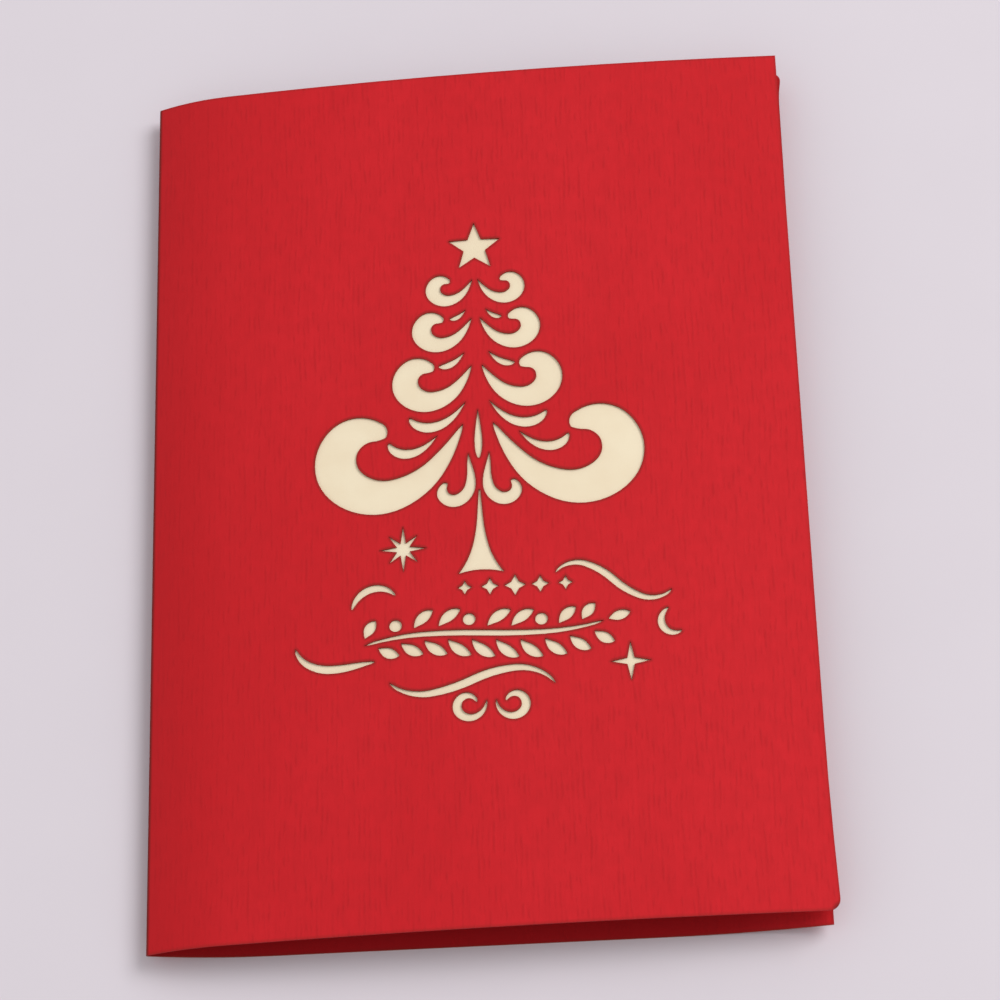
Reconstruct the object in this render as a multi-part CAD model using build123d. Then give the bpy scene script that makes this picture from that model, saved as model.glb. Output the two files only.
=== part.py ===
from build123d import *
import os
from math import asin, atan, cos, degrees, pi, radians, sin, sqrt, tan

# A closed pop-up greeting card, lying on its back panel. Millimetres.
# While it is drawn, the fold runs along Y at x = 0, the fore-edge is at +X, and z = 0 is the table.
# At the end everything moves so that the origin is the bottom centre of the card's box.

# The folded cover
card_width = 127.0          # outermost line of the crease to the fore-edge
card_height = 178.0         # along the fold
card_thickness = 0.4        # 300 g cover card
fold_radius = 0.2           # inside of the crease
skew_deg = 0.64             # the front panel is folded this much out of square
back_lean_deg = 0.32        # the back panel's fore-edge is cut this much out of square
back_inset = 0.25           # and this much short of the full width, at its middle
# Two corners of the fore-edge are worn. Each is pushed out of line by the first length, over the
# second length of the fore-edge, and rubbed to the last radius.
front_low_corner = (0.75, 37.0, 2.2)
back_high_corner = (0.9, 7.0, 1.8)

# How the card springs open: both panels bow away from each other
fold_lift = 3.6             # the fold stands this far off the table
fold_lift_run = 23.0        # width of the back panel that rises to the fold
fore_lift = 3.2             # the back panel's fore-edge stands this far off the table
fore_lift_run = 30.5        # width of the back panel that rises to the fore-edge
front_start_deg = 24.6      # slope of the front panel as it leaves the fold
shoulder_run = 14.4         # width of the front panel's quick bend beside the fold
shoulder_deg = 4.1          # slope left after that bend
front_end_deg = -4.4        # slope of the front panel at the fore-edge

# The cream sheet behind the cut-outs
liner_thickness = 0.22
liner_fold_margin = 24.0
liner_fore_margin = 7.0
liner_end_margin = 8.0

# The pop-up: two sets of slotted slices, folded flat between the panels
slice_thickness = 0.2
slices_per_set = 3
slice_pitch = 10.0          # between neighbouring slices of one set
slot_clearance = 0.1        # each side of a slot
slice_bend_radius = 15.0    # where a slice turns flat against a panel
layer_pitch = 0.45          # between slices that lie flat on each other
crossing_margin = 0.3       # the outermost crossings stay this far inside the flat layers
trunk_height = 15.0
# each tier of the tree: height, radius at its bottom, radius at its top
tiers = ((20.0, 42.0, 25.0), (18.0, 35.0, 19.5), (17.0, 28.0, 6.0))
tip_height = 18.0
slot_margin = 0.5           # the trunk and the tip stop this far short of the slots beside them

# The glued strips that tie the pop-up to the panels
anchor_thickness = 0.2
anchor_width = 6.0
anchor_offset = 6.0         # centre of a strip from the tree's axis
anchor_fold_margin = 5.0    # the strips start this far from the fold
anchor_overlap = 7.0        # length of a strip that lies on its slice
glue_clearance = 0.02

# The cut-out ornament on the front panel, in the panel's own x and y
ornament_shift = 1.0        # the tree's axis from the middle of the panel
cut_reach = 3.0             # cutting depth above and below the panel
least_bulge = 0.002         # a flatter arc in an outline becomes a straight line


def arc_end(pose, radius, turn_deg):
    """Pose (x, z, heading) after an arc. A positive turn bends left."""
    x, z, heading = pose
    side = 1 if turn_deg > 0 else -1
    centre_x = x - side * radius * sin(heading)
    centre_z = z + side * radius * cos(heading)
    heading += radians(turn_deg)
    return centre_x + side * radius * sin(heading), centre_z - side * radius * cos(heading), heading


def to_right(pose, offset):
    """The point that lies offset to the right of a pose."""
    x, z, heading = pose
    return x + offset * sin(heading), z - offset * cos(heading)


def strip(pose, steps, near, far):
    """Section of a bent sheet between two offsets to the right of a path.

    Each step is ("line", length) or ("arc", radius, turn in degrees). Both faces are exact lines
    and arcs, so the sheet is equally thick all along.
    """
    edges = [Line(to_right(pose, near), to_right(pose, far))]
    for step in steps:
        if step[0] == "line":
            end = (pose[0] + step[1] * cos(pose[2]), pose[1] + step[1] * sin(pose[2]), pose[2])
            edges += [Line(to_right(pose, offset), to_right(end, offset)) for offset in (near, far)]
        else:
            stops = (pose, arc_end(pose, step[1], step[2] / 2), arc_end(pose, step[1], step[2]))
            edges += [ThreePointArc(*(to_right(p, offset) for p in stops)) for offset in (near, far)]
            end = stops[-1]
        pose = end
    edges.append(Line(to_right(pose, near), to_right(pose, far)))
    return make_face(Wire(edges))


def along_y(section, low, high):
    """Sheet with its section in the XZ plane, from y = low to y = high."""
    return Pos(0, low, 0) * extrude(Plane.XZ * section, amount=high - low, dir=(0, 1, 0))


def along_x(section, low, high):
    """Sheet with its section in the YZ plane, from x = low to x = high."""
    return Pos(low, 0, 0) * extrude(Plane.YZ * section, amount=high - low, dir=(1, 0, 0))


def prism(outline, low, high):
    """Upright block on a flat outline."""
    return Pos(0, 0, low) * extrude(outline, amount=high - low, dir=(0, 0, 1))


# The cover's bends, worked out from the sizes above. Walking from the back panel's fore-edge to
# the fold and back along the front panel, all of them turn the same way.
fore_turn = 2 * degrees(atan(fore_lift / fore_lift_run))
fore_radius = fore_lift_run / sin(radians(fore_turn))
rise_turn = 2 * degrees(atan(fold_lift / fold_lift_run))
rise_radius = fold_lift_run / sin(radians(rise_turn))
nose_radius = fold_radius + card_thickness
crease_x = nose_radius * (1 - sin(radians(rise_turn)))
half_nose = ("arc", nose_radius, -(180 - rise_turn - front_start_deg) / 2)
shoulder_radius = shoulder_run / (sin(radians(front_start_deg)) - sin(radians(shoulder_deg)))
bow_radius = (card_width - shoulder_run) / (sin(radians(shoulder_deg)) - sin(radians(front_end_deg)))

fold_pose = (crease_x, fold_lift, radians(180 - rise_turn))
nose_pose = arc_end(fold_pose, *half_nose[1:])
front_pose = arc_end(nose_pose, *half_nose[1:])
shoulder_pose = arc_end(front_pose, shoulder_radius, shoulder_deg - front_start_deg)


def rise_bow(x):
    """Pose of the back panel's outer face beside the fold, walking towards the fold."""
    lean = asin((crease_x + fold_lift_run - x) / rise_radius)
    return x, rise_radius * (1 - cos(lean)), pi - lean


def rise_steps(x_from, x_to):
    """Start and steps of the back panel's outer face beside the fold, towards the fold."""
    turn = degrees(rise_bow(x_to)[2] - rise_bow(x_from)[2])
    return rise_bow(x_from), [("arc", rise_radius, turn)]


def front_bow(x):
    """Pose of the front panel's outer face, walking away from the fold."""
    start, radius = (front_pose, shoulder_radius) if x < shoulder_pose[0] else (shoulder_pose, bow_radius)
    heading = asin(sin(start[2]) - (x - start[0]) / radius)
    return x, start[1] + radius * (cos(heading) - cos(start[2])), heading


def front_steps(x_from, x_to):
    """Start and steps of the front panel's outer face, away from the fold."""
    steps = []
    stops = [x_from] + [x for x in (shoulder_pose[0],) if x_from < x < x_to] + [x_to]
    for low, high in zip(stops, stops[1:]):
        radius = shoulder_radius if low < shoulder_pose[0] else bow_radius
        heading = front_bow(low)[2]
        turn = asin(sin(heading) - (high - low) / radius) - heading
        steps.append(("arc", radius, degrees(turn)))
    return front_bow(x_from), steps


def panel_outline(width, turn_deg, lean_deg, worn_corner):
    """Flat outline of a panel turned about the fold. Its fore-edge leans, and its low corner is worn."""
    splay, run, radius = worn_corner
    half = card_height / 2
    turn, lean = radians(turn_deg), radians(lean_deg)
    out = Vector(cos(turn), sin(turn))
    up = Vector(-sin(turn + lean), cos(turn + lean))
    low_corner = width * out - half / cos(lean) * up
    high_corner = width * out + half / cos(lean) * up
    splay_start = low_corner + run * up
    splayed = low_corner + splay * out
    near, behind = 2 * nose_radius, -3 * nose_radius
    crease = ((near, half), (behind, half), (behind, -half), (near, -half))
    straight = Polyline(splay_start, high_corner, *crease, splayed)
    outline = make_face(Wire([*straight.edges(), TangentArc(splay_start, splayed, tangent=-up)]))
    worn = outline.vertices().sort_by_distance(splayed)[0]
    return fillet(worn, radius)


def build_back_panel():
    """Back panel with its half of the crease. Its high corner is the worn one."""
    spare = back_high_corner[0] + card_height * sin(radians(back_lean_deg))
    start = (card_width, fore_lift, radians(180 + fore_turn))
    beyond = (start[0] - spare * cos(start[2]), start[1] - spare * sin(start[2]), start[2])
    table_run = card_width - fore_lift_run - fold_lift_run - crease_x
    steps = [("line", spare), ("arc", fore_radius, -fore_turn), ("line", table_run)]
    section = strip(beyond, steps + [("arc", rise_radius, -rise_turn), half_nose], 0, card_thickness)
    outline = panel_outline(card_width - back_inset, 0.0, -back_lean_deg, back_high_corner)
    half = card_height / 2 + spare
    panel = along_y(section, -half, half)
    return panel & prism(mirror(outline, about=Plane.XZ), -cut_reach, fold_lift + cut_reach)


def build_front_panel():
    """Front panel with its half of the crease and the ornament cut through it."""
    spare = card_height * sin(radians(skew_deg)) + 1
    steps = [half_nose] + front_steps(front_pose[0], card_width + spare)[1]
    half = card_height / 2 + spare
    top = front_bow(card_width / 2)[1]
    panel = along_y(strip(nose_pose, steps, 0, card_thickness), -half, half)
    outline = panel_outline(card_width, skew_deg, 0.0, front_low_corner)
    panel &= prism(outline, -cut_reach, top + cut_reach)
    for window in ornament_windows():
        panel -= prism(window, top - cut_reach, top + cut_reach)
    return panel


def build_liner():
    """Cream sheet glued to the inside of the front panel, behind the cut-outs."""
    pose, steps = front_steps(liner_fold_margin, card_width - liner_fore_margin)
    half = card_height / 2 - liner_end_margin
    return along_y(strip(pose, steps, card_thickness, card_thickness + liner_thickness), -half, half)


def stroke_line(x, y, heading, length, bends, stations, even=False):
    """Stations (distance, x, y, angle) along a curve whose bend changes evenly between two values.

    The bends are in degrees per mm. Unless even, the stations lie closer together near both ends.
    """
    small_steps = 24
    line = [(0.0, x, y, radians(heading))]
    growth = (bends[1] - bends[0]) / (2 * length)
    for i in range(1, stations + 1):
        low = line[-1][0]
        high = length * i / stations if even else length * (1 - cos(pi * i / stations)) / 2
        step = (high - low) / small_steps
        for k in range(small_steps):
            s = low + (k + 0.5) * step
            angle = radians(heading + bends[0] * s + growth * s * s)
            x += step * cos(angle)
            y += step * sin(angle)
        line.append((high, x, y, radians(heading + bends[0] * high + growth * high * high)))
    return line


def arcs_through(points):
    """Arcs through the points, three at a time, and a line where three of them lie in line."""
    edges = []
    for start, middle, end in zip(points[:-2:2], points[1::2], points[2::2]):
        along_x, along_y = end[0] - start[0], end[1] - start[1]
        out_x, out_y = middle[0] - start[0], middle[1] - start[1]
        bulge = abs(out_x * along_y - out_y * along_x) / sqrt(along_x ** 2 + along_y ** 2)
        edges.append(ThreePointArc(start, middle, end) if bulge > least_bulge else Line(start, end))
    return edges


def stroke(x, y, heading, length, bends, width, swell=1.0, tip=0.6, arcs=6):
    """Brush stroke along a scroll: its width is width * sin(pi * u ** swell) ** tip.

    u is the fraction of the length. A swell over 1 puts the widest place beyond the middle, and
    a small tip power makes the ends blunt. Each side is a chain of arcs.
    """
    line = stroke_line(x, y, heading, length, bends, 2 * arcs)
    root, end = line[0][1:3], line[-1][1:3]
    left, right = [root], [root]
    for s, px, py, angle in line[1:-1]:
        half = width / 2 * sin(pi * (s / length) ** swell) ** tip
        left.append((px - half * sin(angle), py + half * cos(angle)))
        right.append((px + half * sin(angle), py - half * cos(angle)))
    return make_face(Wire(arcs_through(left + [end]) + arcs_through(right + [end])))


def rays(x, y, reach, waist, count, short_reach=None):
    """Star with straight rays, the first one pointing up. Every second ray may be shorter."""
    points = []
    for i in range(2 * count):
        angle = radians(90 + 180 * i / count)
        tip = short_reach if short_reach and i % 4 == 2 else reach
        radius = waist if i % 2 else tip
        points.append((x + radius * cos(angle), y + radius * sin(angle)))
    return make_face(Polyline(*points, close=True))


def both_sides(window, axis_x):
    """A window and its mirror image across the upright line at axis_x."""
    return [window, Pos(2 * axis_x, 0, 0) * window.mirror(Plane.YZ)]


def trunk_window(axis_x):
    """Slender trunk that flares into a foot."""
    top, bottom = -1.6, -18.8
    arch = 0.7
    rows = 6
    right, left = [], []
    for i in range(rows + 1):
        u = i / rows
        half = 0.15 + 1.1 * u + 3.2 * u ** 4
        right.append((axis_x + half, top + (bottom - top) * u))
        left.append((axis_x - half, top + (bottom - top) * u))
    ends = [ThreePointArc(right[-1], (axis_x, bottom + arch), left[-1]), Line(left[0], right[0])]
    return make_face(Wire(arcs_through(right) + arcs_through(left) + ends))


def tree_windows(axis_x):
    """Tree of four tiers of scrolled boughs, with leaves, hanging hooks, a trunk and a star."""
    # height of the root, gap from the axis, heading, length, bends, width, tip power
    boughs = (
        (43.4, 0.5, -62, 15.8, (1.0, 37.0), 2.9, 0.50),
        (35.0, 0.8, -62, 20.0, (1.0, 29.0), 3.8, 0.50),
        (24.8, 1.0, -63, 26.5, (0.8, 21.8), 5.1, 0.48),
        (12.4, 2.9, -63, 50.0, (0.2, 11.5), 8.2, 0.46),
    )
    leaves = (
        (36.9, 1.9, -50, 3.9, (0.8, 30.0), 1.0, 0.60),
        (27.7, 2.3, -50, 6.2, (0.8, 20.0), 1.4, 0.60),
        (17.2, 2.2, -54, 14.0, (0.6, 16.5), 2.1, 0.60),
        (10.4, 7.8, -47, 12.0, (0.6, 20.0), 2.0, 0.60),
        (6.2, 2.0, -88, 17.0, (-7.0, 36.0), 2.6, 0.50),
    )
    swell = 1.7
    star_height, star_reach, star_waist = 50.4, 5.4, 2.25
    drop_height, drop_length, drop_width = 15.4, 10.4, 1.5
    drop = stroke(axis_x, drop_height, -90, drop_length, (0, 0), drop_width, swell)
    windows = [rays(axis_x, star_height, star_reach, star_waist, 5), trunk_window(axis_x), drop]
    for y, gap, heading, length, bends, width, tip in boughs + leaves:
        half_tree = stroke(axis_x + gap, y, heading, length, bends, width, swell, tip, 7)
        windows += both_sides(half_tree, axis_x)
    return windows


def garland_windows(axis_x):
    """Leafy branch in a gentle wave, with berries, and a row of sparks above it."""
    stem_width, stem_tip = 1.2, 0.45
    stem = (axis_x - 22.6, -32.2, 17, 46.0, (-1.8, 1.8))
    leaf_count = 10
    berry_every = 3
    leaf_gap, leaf_lean_deg, leaf_bend_deg, leaf_width = 1.35, 54, 6.0, 2.15
    berry_radius, berry_gap = 1.2, 2.6
    windows = [stroke(*stem, stem_width, tip=stem_tip)]
    line = stroke_line(*stem, leaf_count, even=True)
    for i in range(leaf_count):
        x, y, angle = line[i][1:]
        for side, least, more in ((-1, 4.2, 1.6), (1, 3.8, 1.8)):
            length = least + more * sin(pi * (i + 0.5) / leaf_count)
            along = 0.6 if side > 0 else 2.4
            root_x = x + along * cos(angle) - side * leaf_gap * sin(angle)
            root_y = y + along * sin(angle) + side * leaf_gap * cos(angle)
            if side > 0 and i % berry_every == 1:
                berry = Pos(root_x + berry_radius, y + berry_gap, 0) * Circle(berry_radius)
                windows.append(berry.face())
            else:
                heading = degrees(angle) + side * leaf_lean_deg
                bends = (-side * leaf_bend_deg, -side * leaf_bend_deg)
                windows.append(stroke(root_x, root_y, heading, length, bends, leaf_width, 1.15, 0.8, 3))
    x, y, angle = line[-1][1:]
    windows.append(stroke(x + 0.8, y + 0.3, degrees(angle), 4.4, (0, 0), 2.0, 1.1, 0.8, 3))
    for i, reach in enumerate((1.4, 1.7, 2.1, 1.7, 1.4)):
        windows.append(rays(axis_x + 6.4 + 4.8 * (i - 2), -21.6, reach, reach / 2, 4))
    return windows


def flourish_windows(axis_x):
    """Free swashes, a pair of small scrolls and two loose sparks around the garland."""
    # x from the axis, y, heading, length, bends, width
    swashes = (
        (14.1, -19.6, 58, 25.5, (-15.5, 15.0), 1.5),
        (35.3, -27.6, -150, 8.5, (18.0, 26.0), 1.4),
        (-35.8, -31.9, -78, 17.4, (12.5, -3.0), 1.7),
        (-17.9, -39.9, -48, 34.0, (8.4, -9.0), 1.7),
        (-24.9, -24.8, 78, 11.0, (-10.0, -14.0), 1.5),
    )
    windows = []
    for x, y, heading, length, bends, width in swashes:
        windows.append(stroke(axis_x + x, y, heading, length, bends, width))
    windows += both_sides(stroke(axis_x + 2.3, -44.4, -88, 14.5, (14.0, 34.0), 1.7, 1.2), axis_x + 1.4)
    windows.append(rays(axis_x - 14.9, -13.0, 4.7, 1.35, 8, 4.0))
    windows.append(rays(axis_x + 27.8, -38.0, 3.9, 0.95, 4))
    return windows


def ornament_windows():
    axis_x = card_width / 2 + ornament_shift
    return tree_windows(axis_x) + garland_windows(axis_x) + flourish_windows(axis_x)


# The folded lattice. When the card opens flat, the slices stand at 45 degrees to the fold and
# their outermost crossings are tied to the panels. Folded flat, they start this far from the fold.
last_index = (slices_per_set - 1) / 2
lattice_reach = 2 * last_index * slice_pitch
base_x = lattice_reach * sin(radians(45))
floor_z = rise_bow(base_x)[1] - card_thickness / cos(rise_bow(base_x)[2])
ceiling_z = front_bow(base_x)[1] - card_thickness / cos(front_bow(base_x)[2])
stack_mid = (floor_z + ceiling_z) / 2
stack_half = (ceiling_z - floor_z) / 2 - anchor_thickness - glue_clearance - slice_thickness / 2
lattice_tilt = asin((stack_half - crossing_margin) / lattice_reach)
crossing_pitch = slice_pitch * cos(lattice_tilt)
slot_width = slice_thickness / sin(lattice_tilt) + 2 * slot_clearance
beside_slot = crossing_pitch - slot_width / 2
trunk_radius = sqrt(slice_pitch ** 2 + beside_slot ** 2) - slot_margin
tip_radius = beside_slot - slot_margin
tree_height = trunk_height + sum(tier[0] for tier in tiers) + tip_height


def tree_corners():
    """Corners (height, radius) of the round tree, from its foot to its tip."""
    corners = [(0, trunk_radius), (trunk_height, trunk_radius)]
    height = trunk_height
    for rise, low_radius, high_radius in tiers + ((tip_height, tip_radius, 0),):
        corners += [(height, low_radius), (height + rise, high_radius)]
        height += rise
    return corners


def tapering_out(low, high, radius):
    """Whether the tree gets thinner than this radius between two corners."""
    return low[1] > radius >= high[1] and high[0] > low[0]


def cone_height(low, high, radius):
    """Height at which the cone between two corners has this radius."""
    return low[0] + (high[0] - low[0]) * (low[1] - radius) / (low[1] - high[1])


def slice_outline(offset, centre_y):
    """Outline of the slice that cuts the tree at an offset from its axis."""
    side = []
    corners = tree_corners()
    for low, high in zip(corners, corners[1:]):
        side.append((low[0], sqrt(low[1] ** 2 - offset ** 2)))
        if tapering_out(low, high, offset):
            tip = (base_x + cone_height(low, high, offset), centre_y)
            break
    right = [(base_x + height, centre_y - half) for height, half in side]
    left = [(base_x + height, centre_y + half) for height, half in side]
    return make_face(Polyline(*right, tip, *left[::-1], close=True))


def crossing_height(offset_a, offset_b):
    """Height of the tree along the line where two slices cross."""
    radius = sqrt(offset_a ** 2 + offset_b ** 2)
    corners = tree_corners()
    spans = [span for span in zip(corners, corners[1:]) if tapering_out(*span, radius)]
    return min(cone_height(*span, radius) for span in spans)


def slice_section(index, side, reach):
    """Bent sheet: flat against one panel, a slope through the crossings, flat against the other.

    side is 1 for the set that rises towards +Y and -1 for the set that falls.
    """
    rank = last_index + index
    start_z = stack_mid - side * (stack_half - layer_pitch * (2 * last_index - rank))
    end_z = stack_mid + side * (stack_half - layer_pitch * rank)
    middle_y = 2 * index * crossing_pitch
    start_y = middle_y + side * (start_z - stack_mid) / tan(lattice_tilt)
    end_y = middle_y + side * (end_z - stack_mid) / tan(lattice_tilt)
    tangent = slice_bend_radius * tan(lattice_tilt / 2)
    turn = side * degrees(lattice_tilt)
    steps = [
        ("line", start_y - tangent + reach),
        ("arc", slice_bend_radius, turn),
        ("line", (end_y - start_y) / cos(lattice_tilt) - 2 * tangent),
        ("arc", slice_bend_radius, -turn),
        ("line", reach - end_y - tangent),
    ]
    return strip((-reach, start_z, 0.0), steps, -slice_thickness / 2, slice_thickness / 2)


def build_slice(index, side):
    """One slice of the tree. The rising set is slotted from the tip, the falling set from the foot."""
    reach = 2 * max(tier[1] for tier in tiers)
    centre_y = index * crossing_pitch
    outline = slice_outline(abs(index) * slice_pitch, centre_y)
    piece = along_x(slice_section(index, side, reach), base_x - 1, base_x + tree_height + 1)
    piece &= prism(outline, floor_z, ceiling_z)
    for k in range(slices_per_set):
        other = k - last_index
        slot_end = base_x + crossing_height(index * slice_pitch, other * slice_pitch) / 2
        other_end = base_x + tree_height + 1 if side > 0 else base_x - 1
        middle = Pos((slot_end + other_end) / 2, centre_y + other * crossing_pitch, stack_mid)
        piece -= middle * Box(abs(other_end - slot_end), slot_width, ceiling_z - floor_z)
    return piece


def build_anchor(panel, hand):
    """Strip glued to a panel beside the fold, that holds the foot of the slice it reaches under."""
    near, far = anchor_fold_margin, base_x + anchor_overlap
    pose, steps = rise_steps(far, near) if panel == "back" else front_steps(near, far)
    section = strip(pose, steps, card_thickness, card_thickness + anchor_thickness)
    middle = hand * anchor_offset
    return along_y(section, middle - anchor_width / 2, middle + anchor_width / 2)


nodes = {"cover": build_back_panel() + build_front_panel(), "liner": build_liner()}
for number in range(slices_per_set):
    nodes[f"slice_rising_{number + 1}"] = build_slice(number - last_index, 1)
    nodes[f"slice_falling_{number + 1}"] = build_slice(number - last_index, -1)
for panel in ("back", "front"):
    nodes[f"anchor_{panel}_low"] = build_anchor(panel, -1)
    nodes[f"anchor_{panel}_high"] = build_anchor(panel, 1)

box = nodes["cover"].bounding_box()
to_origin = Pos(-box.center().X, -box.center().Y, -box.min.Z)
os.makedirs("parts", exist_ok=True)
for name, solid in nodes.items():
    export_step(to_origin * solid, f"parts/{name}.step")
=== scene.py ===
# %% [markdown]
# # A pop-up card, dressed for its picture
#
# The card is a folded sheet of embossed red card. A tree of scrolls is cut through its front, and
# a cream sheet glued behind it shows through the cuts. Between the panels lies a paper lattice
# that stands up when the card is opened.
#
# All of the card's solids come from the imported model. This script gives each of them the finish
# of its paper, lays the card on a pale table, lights it softly and sets the camera.

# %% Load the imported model
import math

import bpy
import numpy as np
from mathutils import Matrix, Vector


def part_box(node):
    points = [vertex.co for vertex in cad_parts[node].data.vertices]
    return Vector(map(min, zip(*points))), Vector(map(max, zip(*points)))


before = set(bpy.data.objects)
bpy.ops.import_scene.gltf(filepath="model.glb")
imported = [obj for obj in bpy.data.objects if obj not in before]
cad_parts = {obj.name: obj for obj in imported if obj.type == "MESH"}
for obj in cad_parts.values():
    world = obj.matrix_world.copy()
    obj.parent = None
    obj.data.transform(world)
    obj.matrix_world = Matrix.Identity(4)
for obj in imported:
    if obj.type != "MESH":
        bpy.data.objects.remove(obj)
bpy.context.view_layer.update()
MM = 0.001
card_low, card_high = (Vector(corner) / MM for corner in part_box("cover"))
print("card size in mm:", [round(side, 1) for side in card_high - card_low])

# %% [markdown]
# ## Colours
#
# Paint colours are easiest to read as the hex numbers of a picture on a screen. Blender's shaders
# work with light itself, which is linear, so one function turns a hex number into linear red,
# green and blue. Every colour below goes through it.


# %% One function for every colour
def srgb(hex_colour):
    """Linear RGBA of a screen colour: below 0.04045 the value is divided by 12.92, and above it
    the value plus 0.055, over 1.055, is raised to the power 2.4."""
    parts = np.array([int(hex_colour[i:i + 2], 16) for i in (1, 3, 5)]) / 255
    linear = np.where(parts <= 0.04045, parts / 12.92, ((parts + 0.055) / 1.055) ** 2.4)
    return (*linear.tolist(), 1.0)


print("middle grey of a screen in linear light:", [round(c, 3) for c in srgb("#808080")])

# %% [markdown]
# ## A helper for nodes
#
# A material is a small network. Each node takes numbers or the outputs of other nodes. The helper
# adds one node, sets its options and fills its inputs in one line, so a recipe reads from top to
# bottom like a list of steps. Every node of this script is made by it.
#
# Most masks below are made by a Map Range node that is set to smooth step. It turns a measure
# into 0 on one side of a border and 1 on the other, with a soft change between them.


# %% Add a node, with its settings and links
def add(tree, kind, inputs=(), out=0, **settings):
    """Adds a node and returns one of its outputs, or the node itself where it has none. The
    inputs are values or other nodes' outputs, as a list in the order of the node's sockets or as
    a dictionary by their names or numbers."""
    node = tree.nodes.new("ShaderNode" + kind)
    for name, value in settings.items():
        setattr(node, name, value)
    for socket, value in inputs.items() if isinstance(inputs, dict) else enumerate(inputs):
        if isinstance(value, bpy.types.NodeSocket):
            tree.links.new(value, node.inputs[socket])
        else:
            node.inputs[socket].default_value = value
    return node.outputs[out] if node.outputs else node


def new_material(name):
    """A material without nodes, and its tree."""
    material = bpy.data.materials.new(name)
    material.use_nodes = True
    material.node_tree.nodes.clear()
    return material, material.node_tree


SMOOTH = {"interpolation_type": "SMOOTHSTEP"}
print("masks use a Map Range node with", SMOOTH)

# %% [markdown]
# ## Stains on a colour
#
# Paper is never one colour. It has clouds from the dye bath, burns and wear, and here shade is
# painted on it too: in its grooves, beside its crease, inside the cover and along edges.
# Each of them is laid over the colour before it as a stain: a mask that says where it is, a
# strength that says how much of it shows, and its own colour.


# %% Lay a stain over a colour
def stain(tree, colour, mask, strength, hex_colour):
    """The colour, blended towards another one by the mask times the strength."""
    share = add(tree, "Math", [mask, strength], operation="MULTIPLY")
    return add(tree, "Mix", {0: share, 6: colour, 7: srgb(hex_colour)}, out=2, data_type="RGBA")


print("a stain of strength 0.1 leaves", 1 - 0.1, "of the colour under it")

# %% [markdown]
# ## Millimetres in a shader
#
# Object coordinates are in metres and stay with the piece from any side. Paper is measured in
# millimetres, so every pattern starts from these coordinates times a thousand. A pattern that is
# a given number of millimetres long along an axis is divided by that length.


# %% Object coordinates in millimetres, stretched to a grain size
def place_in_mm(tree):
    """Object coordinates in millimetres."""
    place = add(tree, "TexCoord", out="Object")
    return add(tree, "VectorMath", {0: place, "Scale": 1 / MM}, operation="SCALE")


def grain(tree, place, size_mm, detail=2.0, roughness=0.5):
    """Noise from 0 to 1 of the place over size_mm, so its grains have that size along x, y, z."""
    per_mm = tuple(1 / size for size in size_mm)
    stretched = add(tree, "VectorMath", [place, per_mm], operation="MULTIPLY")
    inputs = {"Vector": stretched, "Scale": 1.0, "Detail": detail, "Roughness": roughness}
    return add(tree, "TexNoise", inputs)


print("one millimetre is", MM, "of Blender's units")

# %% [markdown]
# ## The grooves of the red card
#
# Ribbed card goes through a roller that presses thin grooves into it, all in one direction. Here
# they run along the fold. The real grooves are about 1 mm apart, broken into dashes a few
# millimetres long, and only a few hundredths of a millimetre deep. That is far too fine for
# geometry on a sheet of this size, so a sine wave across the fold gives the grooves and stretched
# noise breaks them up. Two more stretched noises leave short and long streaks between them.

# %% Grooves in dashes, and streaks
RIB_PITCH = 1.0         # mm from groove to groove
RIB_STRAY = 1.6         # mm that a groove wanders to the side, at most
DASH_LENGTH = 3.2       # mm along a groove
SHORT_STREAKS = (0.8, 3.0, 4.0)     # mm, sizes of a streak along x, y and z
LONG_STREAKS = (1.1, 16.0, 4.0)
STREAK_HEIGHT = 0.7     # where a groove has 1


def rib_height(tree, place):
    """A sine across the fold, moved to 0 to 1, times the dashes of a stretched noise, plus the
    streak height times the sum of two streaky noises."""
    stray = grain(tree, place, (30.0, 14.0, 30.0), detail=1.0)
    x = add(tree, "SeparateXYZ", [place], out="X")
    across = add(tree, "Math", [stray, RIB_STRAY, x], operation="MULTIPLY_ADD")
    angle = add(tree, "Math", [across, 2 * math.pi / RIB_PITCH], operation="MULTIPLY")
    wave = add(tree, "Math", [angle], operation="SINE")
    wave = add(tree, "Math", [wave, 0.5, 0.5], operation="MULTIPLY_ADD")
    dashes = grain(tree, place, (RIB_PITCH, DASH_LENGTH, 4.0))
    dashes = add(tree, "MapRange", [dashes, 0.42, 0.74], **SMOOTH)
    broken = add(tree, "Math", [wave, dashes], operation="MULTIPLY")
    both = [grain(tree, place, size) for size in (SHORT_STREAKS, LONG_STREAKS)]
    streaks = add(tree, "Math", both, operation="ADD")
    return add(tree, "Math", [streaks, STREAK_HEIGHT, broken], operation="MULTIPLY_ADD")


print("grooves across a panel:", round((card_high.x - card_low.x) / RIB_PITCH))

# %% [markdown]
# ## Painted shade inside the cover
#
# The inner faces of the cover lie in shade, and that shade is painted on them as a deeper red. At
# a height of 4.3 mm a level plane parts the back panel from the front panel, so a face is an inner
# one when it looks at that plane: below it a normal that points up, above it one that points down.
# The height under the plane times the normal's upward part is then more than nothing. Light does
# come in along the open fore-edge, so the painted shade fades over the last centimetres.

# %% Back panel, and painted shade on the inner faces
PARTING_HEIGHT = 4.3    # mm, between the back panel and the front panel
LIT_MARGIN = 2.0        # mm along the fore-edge that are fully lit
UNLIT_FROM = 26.0       # mm from the fore-edge, where no more light comes in


def on_back_panel(tree, place):
    """1 below the parting plane, 0 above it: a smooth step of the height."""
    height = add(tree, "SeparateXYZ", [place], out="Z")
    borders = [PARTING_HEIGHT + 0.2, PARTING_HEIGHT - 0.2]
    return add(tree, "MapRange", [height, *borders], **SMOOTH)


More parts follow.
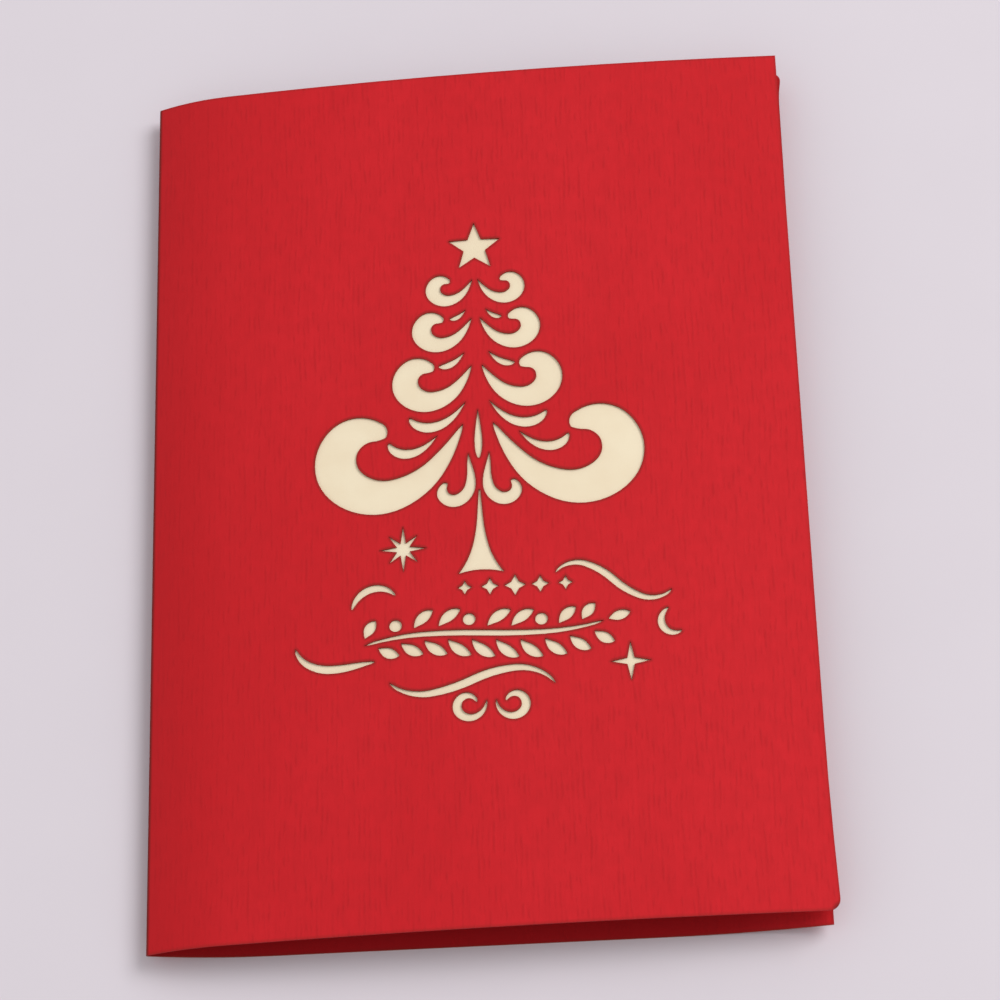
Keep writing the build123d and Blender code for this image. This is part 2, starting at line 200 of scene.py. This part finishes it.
def inner_face_shade(tree, place, upward):
    """Painted shade: 1 on the faces that look at the parting plane, a smooth step of the plane's
    height over the point times the upward part of the normal. Falls to 0 towards the fore-edge."""
    x, height = (add(tree, "SeparateXYZ", [place], out=axis) for axis in "XZ")
    under = add(tree, "Math", [PARTING_HEIGHT, height], operation="SUBTRACT")
    facing = add(tree, "Math", [under, upward], operation="MULTIPLY")
    painted_inner_shade = add(tree, "MapRange", [facing, 0.0, 0.25], **SMOOTH)
    borders = [card_high.x - LIT_MARGIN, card_high.x - UNLIT_FROM]
    unlit = add(tree, "MapRange", [x, *borders], **SMOOTH)
    return add(tree, "Math", [painted_inner_shade, unlit], operation="MULTIPLY")


print("the parting plane is", round(card_high.z - PARTING_HEIGHT, 1), "mm below the card's top")

# %% [markdown]
# ## Burnt edges, and edges with painted shade
#
# The card is dyed right through, but a laser cut the ornament, and it browned the cut walls. They
# are found by their normals: on a panel the normal points up or down, on a cut wall it lies level.
# The cut edges of the back panel, in shade under the front panel, are painted as brown, as shade.
#
# A dark rim runs round each window on the face of the card too, and more faintly along the outer
# edges of the sheet. It is partly scorch and partly painted shade along the edge. It is up to half
# a millimetre wide. A Bevel node finds it: the normal that it rounds off over a small radius leans
# away from the true one near an edge only, and less and less with the distance from the edge, so
# the radius is twice the rim's width.

# %% Cut walls, and rims of scorch and painted shade
ORNAMENT_MIDDLE = (1.5, 3.0)    # mm, x and y of the rectangle that holds the cuts
ORNAMENT_HALF = (38.0, 53.0)    # mm, half of its width and of its height
ROUNDED_OFF = 1.0               # mm, radius of the Bevel node


def inside_ornament(tree, place):
    """1 inside the rectangle that holds the cuts, 0 outside it. Along x and along y, the distance
    from its middle is compared with half of its size, and the two answers are multiplied."""
    answers = []
    for axis, middle, half in zip("XY", ORNAMENT_MIDDLE, ORNAMENT_HALF):
        along = add(tree, "SeparateXYZ", [place], out=axis)
        answers.append(add(tree, "Math", [along, middle, half], operation="COMPARE"))
    return add(tree, "Math", answers, operation="MULTIPLY")


def cut_walls(tree, upward, burnt_and_shaded_area):
    """1 on the walls of the browned area, burnt in the ornament and painted with shade on the back
    panel: a smooth step of how little the normal points up or down, times the area."""
    flatness = add(tree, "Math", [upward], operation="ABSOLUTE")
    wall = add(tree, "MapRange", [flatness, 0.75, 0.45], **SMOOTH)
    return add(tree, "Math", [wall, burnt_and_shaded_area], operation="MULTIPLY")


def scorch_and_edge_shade(tree):
    """1 at an edge, falling to 0 with the distance from it: a smooth step of the dot product of
    the rounded and the true normal, which is 1 where they are the same."""
    rounded = add(tree, "Bevel", {"Radius": ROUNDED_OFF * MM}, samples=6)
    true_normal = add(tree, "NewGeometry", out="True Normal")
    both = [rounded, true_normal]
    alike = add(tree, "VectorMath", both, out="Value", operation="DOT_PRODUCT")
    return add(tree, "MapRange", [alike, 0.998, 0.94], **SMOOTH)


print("the cuts lie in a rectangle of", [2 * half for half in ORNAMENT_HALF], "mm")

# %% [markdown]
# ## Painted shade at the crease, and a worn corner
#
# The first centimetres beside the crease, where the front panel turns away from the light, are
# painted darker as shade. The outermost line of the crease, which turns under towards the table,
# is painted brown as shade. The lower corner of the front panel is worn round and splayed, and its
# sheet is darker round the place where its tip was.

# %% Painted shade beside the crease and on its outer line, and a darker corner
FOLD_SHADE_WIDTH = 36.0       # mm beside the crease, fading outwards
CREASE_SHADE_WIDTH = 0.8      # mm of the crease, from its outermost line
CREASE_SHADE_THROUGH = 0.25   # mm of it that are fully brown
DARK_CORNER_RADIUS = 2.1    # mm round the lost tip
DARK_CORNER_THROUGH = 0.9   # mm round it that are fully dark
LOST_TIP = (card_high.x + 0.1, card_low.y + 1.4, card_high.z - 2.2)


def crease_shade_and_corner(tree, place, colour):
    """The colour with painted shade and a darker corner as stains: smooth steps of x for the shade
    beside the crease and on its outer line, and one of the distance from the lost tip for the corner."""
    x = add(tree, "SeparateXYZ", [place], out="X")
    # painted shade beside the crease, where the panel turns away from the light
    painted_fold_shade = add(tree, "MapRange", [x, card_low.x + FOLD_SHADE_WIDTH, card_low.x], **SMOOTH)
    colour = stain(tree, colour, painted_fold_shade, 0.42, "#B4141A")
    # painted shade on the crease's outermost line, where it turns under towards the table
    borders = [card_low.x + CREASE_SHADE_WIDTH, card_low.x + CREASE_SHADE_THROUGH]
    painted_crease_shade = add(tree, "MapRange", [x, *borders], **SMOOTH)
    colour = stain(tree, colour, painted_crease_shade, 0.85, "#6A1A16")
    # darker round the lost tip of the worn corner
    away = add(tree, "VectorMath", [place, LOST_TIP], out="Value", operation="DISTANCE")
    darker_corner = add(tree, "MapRange", [away, DARK_CORNER_RADIUS, DARK_CORNER_THROUGH], **SMOOTH)
    return stain(tree, colour, darker_corner, 0.75, "#5A1212")


print("the lost tip of the worn corner, in mm:", [round(c, 1) for c in LOST_TIP])

# %% [markdown]
# ## The red card
#
# This is dyed paper board of 300 grams to the square metre, pressed with ribs by a roller. To the
# eye it is a deep, matt red with a fine grain along the fold. Paper takes an IOR of 1.5, is no
# metal, and scatters light from its fibres, so its roughness is high and its gloss is held low.
#
# The recipe starts with the dye and lays the stains over it, from the widest to the smallest;
# several of them are painted shade. The relief is the height of the grooves with a little of the
# fibres added, which a Bump node turns into light and shade. Real fibres are about 0.02 mm wide,
# too fine to show in the picture, so they are drawn six times as coarse.

# %% Ribbed red card
RIB_DEPTH = 0.03        # mm, of a groove
CLOUD_SIZE = (38.0, 60.0, 40.0)     # mm along x, y and z
MOTTLE_SIZE = (2.6, 3.4, 3.0)
CARD_FIBRE = 0.12       # mm
FIBRE_HEIGHT = 0.08     # where a groove has 1
OUTER_SCORCH_AND_SHADE = 0.45        # strength of the rim of scorch and painted shade on the sheet's outer edges
WINDOW_SCORCH_AND_SHADE = 0.4        # what the windows add to it


def red_card():
    """Dyed ribbed card with its wear, its burns and painted shade."""
    material, tree = new_material("ribbed_red_card")
    place = place_in_mm(tree)
    upward = add(tree, "SeparateXYZ", [add(tree, "TexCoord", out="Normal")], out="Z")
    height = rib_height(tree, place)
    fibres = grain(tree, place, (CARD_FIBRE, CARD_FIBRE, CARD_FIBRE))
    clouds = grain(tree, place, CLOUD_SIZE, detail=3.0)
    clouds = add(tree, "MapRange", [clouds, 0.3, 0.7], **SMOOTH)
    mottle = grain(tree, place, MOTTLE_SIZE, detail=1.0)
    mottle = add(tree, "MapRange", [mottle, 0.35, 0.65], **SMOOTH)
    painted_inner_shade = inner_face_shade(tree, place, upward)
    inside = inside_ornament(tree, place)
    scorch_and_shade_strength = add(tree, "Math", [inside, WINDOW_SCORCH_AND_SHADE, OUTER_SCORCH_AND_SHADE], operation="MULTIPLY_ADD")
    # the walls are burnt in the ornament; on the back panel their brown is painted shade
    both = [inside, on_back_panel(tree, place)]
    burnt_and_shaded_area = add(tree, "Math", both, operation="MAXIMUM")
    burnt_and_shaded_walls = cut_walls(tree, upward, burnt_and_shaded_area)

    colour = stain(tree, srgb("#CC1922"), clouds, 1.0, "#D31E27")
    colour = stain(tree, colour, mottle, 0.2, "#B8181F")
    # painted shade: darker where the grooves and streaks of the relief are deep
    colour = stain(tree, colour, height, 0.36, "#AE151C")
    colour = crease_shade_and_corner(tree, place, colour)
    # painted shade on the inner faces, fading towards the open fore-edge
    colour = stain(tree, colour, painted_inner_shade, 0.85, "#AB0D15")
    # the rim round the windows and along the outer edges: partly scorch, partly painted shade
    colour = stain(tree, colour, scorch_and_edge_shade(tree), scorch_and_shade_strength, "#7E1E18")
    # burnt walls in the ornament, and painted shade on the back panel's edges
    colour = stain(tree, colour, burnt_and_shaded_walls, 0.9, "#853A24")

    relief = add(tree, "Math", [fibres, FIBRE_HEIGHT, height], operation="MULTIPLY_ADD")
    bump = add(tree, "Bump", {"Distance": RIB_DEPTH * MM, "Height": relief})
    shader = add(tree, "BsdfPrincipled", {
        "Base Color": colour, "Normal": bump, "IOR": 1.5, "Specular IOR Level": 0.2,
        "Roughness": add(tree, "MapRange", [fibres, 0.3, 0.7, 0.68, 0.8], **SMOOTH),
    })
    add(tree, "OutputMaterial", [shader])
    return material


card_material = red_card()
print("the red card has", len(card_material.node_tree.nodes), "nodes")

# %% [markdown]
# ## The cream papers
#
# The sheet behind the cuts is smooth uncoated paper, the colour of cream. Its look is nearly all
# in its colour: a faint cloudiness of the pulp and a fibre grain too fine to count. The lattice
# and its glued strips are of the same stock in a heavier weight. As on the red card, the fibres
# are drawn coarser than they are, so that they show.

# %% Smooth cream papers
SHEET_FIBRE = 0.25      # mm
SHEET_RELIEF = 0.01     # mm
LATTICE_FIBRE = 0.35    # mm
LATTICE_RELIEF = 0.02   # mm
PULP_CLOUD = 9.0        # mm


def cream_paper(name, hex_light, hex_dark, fibre_mm, relief_mm):
    """Uncoated paper: a blend of two creams by the pulp's clouds, and fibres as relief."""
    material, tree = new_material(name)
    place = place_in_mm(tree)
    clouds = grain(tree, place, (PULP_CLOUD, PULP_CLOUD, PULP_CLOUD), detail=4.0)
    clouds = add(tree, "MapRange", [clouds, 0.3, 0.7], **SMOOTH)
    fibres = grain(tree, place, (fibre_mm, fibre_mm, fibre_mm), detail=3.0)
    shader = add(tree, "BsdfPrincipled", {
        "Base Color": stain(tree, srgb(hex_dark), clouds, 1.0, hex_light),
        "Normal": add(tree, "Bump", {"Distance": relief_mm * MM, "Height": fibres}),
        "Roughness": add(tree, "MapRange", [fibres, 0.3, 0.7, 0.75, 0.9], **SMOOTH),
        "IOR": 1.5, "Specular IOR Level": 0.3,
    })
    add(tree, "OutputMaterial", [shader])
    return material


creams = {
    "sheet": cream_paper("cream_liner_paper", "#EFE0C3", "#EBDABC", SHEET_FIBRE, SHEET_RELIEF),
    "lattice": cream_paper("cream_lattice_card", "#EFE2C8", "#E9DAB9", LATTICE_FIBRE, LATTICE_RELIEF),
}
print("cream papers:", list(creams))

# %% [markdown]
# ## Papers on the pieces
#
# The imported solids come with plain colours. Their list of materials is emptied, and each gets one
# paper: the red card for the folded cover, the smooth paper for the sheet glued in it, and the
# heavier one for all the slices and strips of the lattice.

# %% Give each piece its paper
papers = {"cover": card_material, "liner": creams["sheet"]}
for name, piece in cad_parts.items():
    piece.data.materials.clear()
    piece.data.materials.append(papers.get(name, creams["lattice"]))
print("papers given to", len(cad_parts), "pieces")

# %% [markdown]
# ## The table
#
# The card lies on a plain pale surface with a touch of lilac, a matt laminate. It is one large
# square grid, worked out with numpy as whole arrays: the corner points first, then the four corner
# numbers of every square. It isn't part of the card.
#
# Behind the table's far edge there is only the sky. From a low side that edge would be a hard
# line, so from 0.7 m outwards the surface fades to the plain colour that the sky shows to the eye.
# The fade acts on the rays that are seen, straight or in a reflection, and not on light or shadow.

# %% A pale table top
BACKDROP = "#DDD5DC"
FADE_START, FADE_END = 700.0, 2600.0    # mm from the card's middle
MOTTLED_BY = 25.0                       # mm
TABLE_REACH = 4.0                       # m from the middle to an edge
TABLE_LINES = 13                        # grid lines each way


def seen_rays(tree):
    """1 for rays of the eye, of reflections and through glass, 0 for all others: the greatest of
    the three marks that a ray carries."""
    seen = add(tree, "LightPath", out="Is Camera Ray")
    for kind in ("Is Glossy Ray", "Is Transmission Ray"):
        seen = add(tree, "Math", [seen, add(tree, "LightPath", out=kind)], operation="MAXIMUM")
    return seen


def pale_surface():
    """Matt laminate with a very faint mottle. Far out it is blended into the backdrop, by a smooth
    step of the distance from the card, for the rays that are seen."""
    material, tree = new_material("pale_matt_laminate")
    place = place_in_mm(tree)
    mottle = grain(tree, place, (MOTTLED_BY, MOTTLED_BY, MOTTLED_BY), detail=3.0)
    laminate = add(tree, "BsdfPrincipled", {
        "Base Color": stain(tree, srgb("#D9D1D8"), mottle, 1.0, "#DCD4DB"),
        "Roughness": 0.8, "IOR": 1.5, "Specular IOR Level": 0.2,
    })
    away = add(tree, "VectorMath", [place], out="Value", operation="LENGTH")
    far = add(tree, "MapRange", [away, FADE_START, FADE_END], **SMOOTH)
    faded = add(tree, "Math", [far, seen_rays(tree)], operation="MULTIPLY")
    plain = add(tree, "Emission", [srgb(BACKDROP), 1.0])
    add(tree, "OutputMaterial", [add(tree, "MixShader", [faded, laminate, plain])])
    return material


def grid_mesh(name, xs, ys, heights):
    """Mesh of a height field: point (i, j) is (xs[i], ys[j], heights[i, j])."""
    x, y = np.meshgrid(xs, ys, indexing="ij")
    points = np.stack([x, y, heights], axis=-1).reshape(-1, 3)
    first = (np.arange(len(xs) - 1)[:, None] * len(ys) + np.arange(len(ys) - 1)).ravel()
    squares = np.stack([first, first + len(ys), first + len(ys) + 1, first + 1], axis=1)
    mesh = bpy.data.meshes.new(name)
    mesh.from_pydata(points.tolist(), [], squares.tolist())
    mesh.update()
    return mesh


steps = np.linspace(-TABLE_REACH, TABLE_REACH, TABLE_LINES)
table_mesh = grid_mesh("table_top", steps, steps, np.zeros((TABLE_LINES, TABLE_LINES)))
table_mesh.materials.append(pale_surface())
table_top = bpy.data.objects.new("table_top", table_mesh)
bpy.context.scene.collection.objects.link(table_top)
print("table:", len(table_mesh.polygons), "squares")

# %% [markdown]
# ## Light
#
# In the photograph the shadows are soft and lie to the left of the fold and below the lower edge,
# so one large window stands beyond the card's upper right. The rest is light from everywhere,
# which is the world. Together they bring a level white surface to just about white, so each
# colour looks as it was written.

# %% A large soft lamp and an even sky
SKY = 0.63
WINDOW_WATTS = 42.0
WINDOW_SIZE = 1.5       # m
WINDOW_PLACE = Vector((1.60, 0.80, 2.05))


def soft_window():
    """A square lamp that faces the card."""
    lamp = bpy.data.lights.new("window", "AREA")
    lamp.shape = "SQUARE"
    lamp.size = WINDOW_SIZE
    lamp.energy = WINDOW_WATTS
    holder = bpy.data.objects.new("window", lamp)
    holder.location = WINDOW_PLACE
    holder.rotation_euler = (-WINDOW_PLACE).to_track_quat("-Z", "Y").to_euler()
    bpy.context.scene.collection.objects.link(holder)


def even_sky():
    """Light of one strength from all sides. The rays that are seen find the backdrop's colour."""
    world = bpy.data.worlds.new("sky")
    bpy.context.scene.world = world
    world.use_nodes = True
    tree = world.node_tree
    tree.nodes.clear()
    light = add(tree, "Background", [srgb("#FFFFFF"), SKY])
    pale = add(tree, "Background", [srgb(BACKDROP), 1.0])
    both = add(tree, "MixShader", [seen_rays(tree), light, pale])
    add(tree, "OutputWorld", [both])


soft_window()
even_sky()
bpy.context.scene.view_settings.view_transform = "Standard"
print("window of", WINDOW_WATTS, "W,", round(WINDOW_PLACE.length, 2), "m away, sky of", SKY)

# %% [markdown]
# ## The camera
#
# The place and the lens were worked out from the card's own corners: a folded sheet of known size
# leaves only one place from which its four corners and its bowed edges fall where the picture
# shows them. The camera stands over the card's lower end and looks down at 67 degrees.

# %% Camera from above the lower end
CAMERA_PLACE = Vector((0.055912, -0.266091, 0.630530))
LOOKS_ALONG = Vector((-0.076742, 0.387168, -0.918810))
RIGHT_HAND = Vector((0.995441, -0.022603, -0.092667))
LENS_MM = 126.783
SENSOR_MM = 36.0


def set_camera():
    """Camera whose axes are its right hand, its up and the reverse of where it looks."""
    camera = bpy.data.cameras.new("camera")
    camera.lens = LENS_MM
    camera.sensor_width = SENSOR_MM
    holder = bpy.data.objects.new("camera", camera)
    up = RIGHT_HAND.cross(LOOKS_ALONG)
    axes = Matrix((RIGHT_HAND, up, -LOOKS_ALONG)).transposed()
    holder.matrix_world = Matrix.Translation(CAMERA_PLACE) @ axes.to_4x4()
    bpy.context.scene.collection.objects.link(holder)
    bpy.context.scene.camera = holder


set_camera()
print("lens of", LENS_MM, "mm,", round(CAMERA_PLACE.length, 2), "m from the card's middle")
